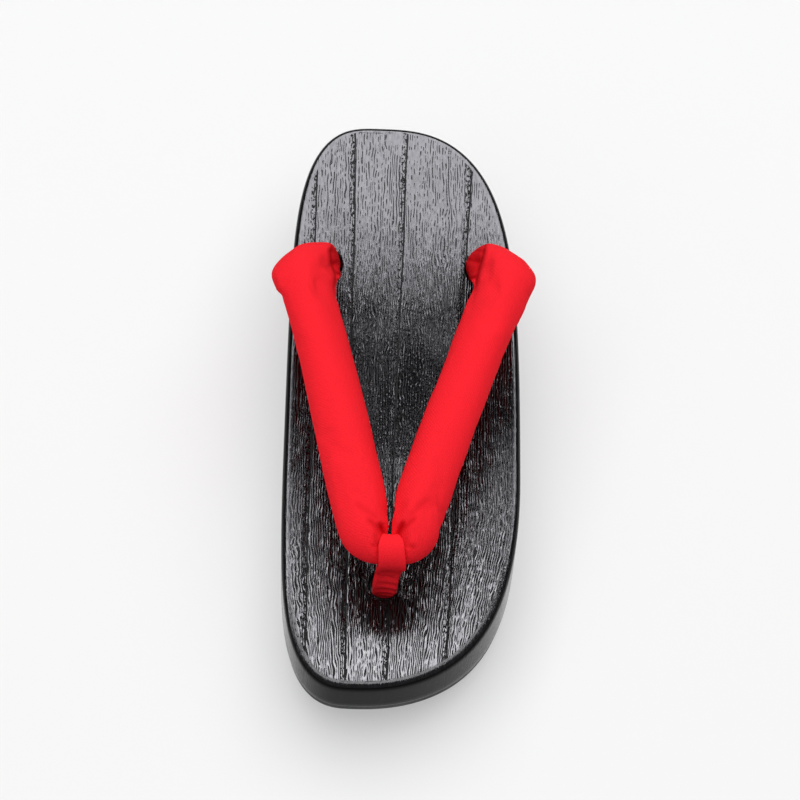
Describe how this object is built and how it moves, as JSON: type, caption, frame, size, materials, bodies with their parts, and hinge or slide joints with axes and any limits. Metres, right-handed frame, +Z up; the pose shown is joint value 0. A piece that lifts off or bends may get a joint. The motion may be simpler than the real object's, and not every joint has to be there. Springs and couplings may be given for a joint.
{
  "type": "geta sandal",
  "caption": "Lacquered wooden geta sandal with a curved footbed, cut-away arch, rubber soles and a padded thong strap.",
  "frame": {"origin": "on the floor under the middle of the sandal's bounding box", "axes": "+Z up, +Y from the toe to the heel, +X to the outer (lateral) side of a left foot"},
  "size_m": [0.1002, 0.245, 0.0664],
  "materials": {
    "black_lacquer": "satin black lacquer over brushed wood grain",
    "black_rubber": "matte black sponge rubber",
    "red_cloth": "matte woven red cloth over padding"
  },
  "bodies": {
    "root": {"wooden_base": "black_lacquer", "forefoot_sole": "black_rubber", "heel_sole": "black_rubber", "padded_strap": "red_cloth", "front_thong": "red_cloth", "front_knot": "red_cloth", "rear_knot_medial": "red_cloth", "rear_knot_lateral": "red_cloth"}
  },
  "joints": []
}
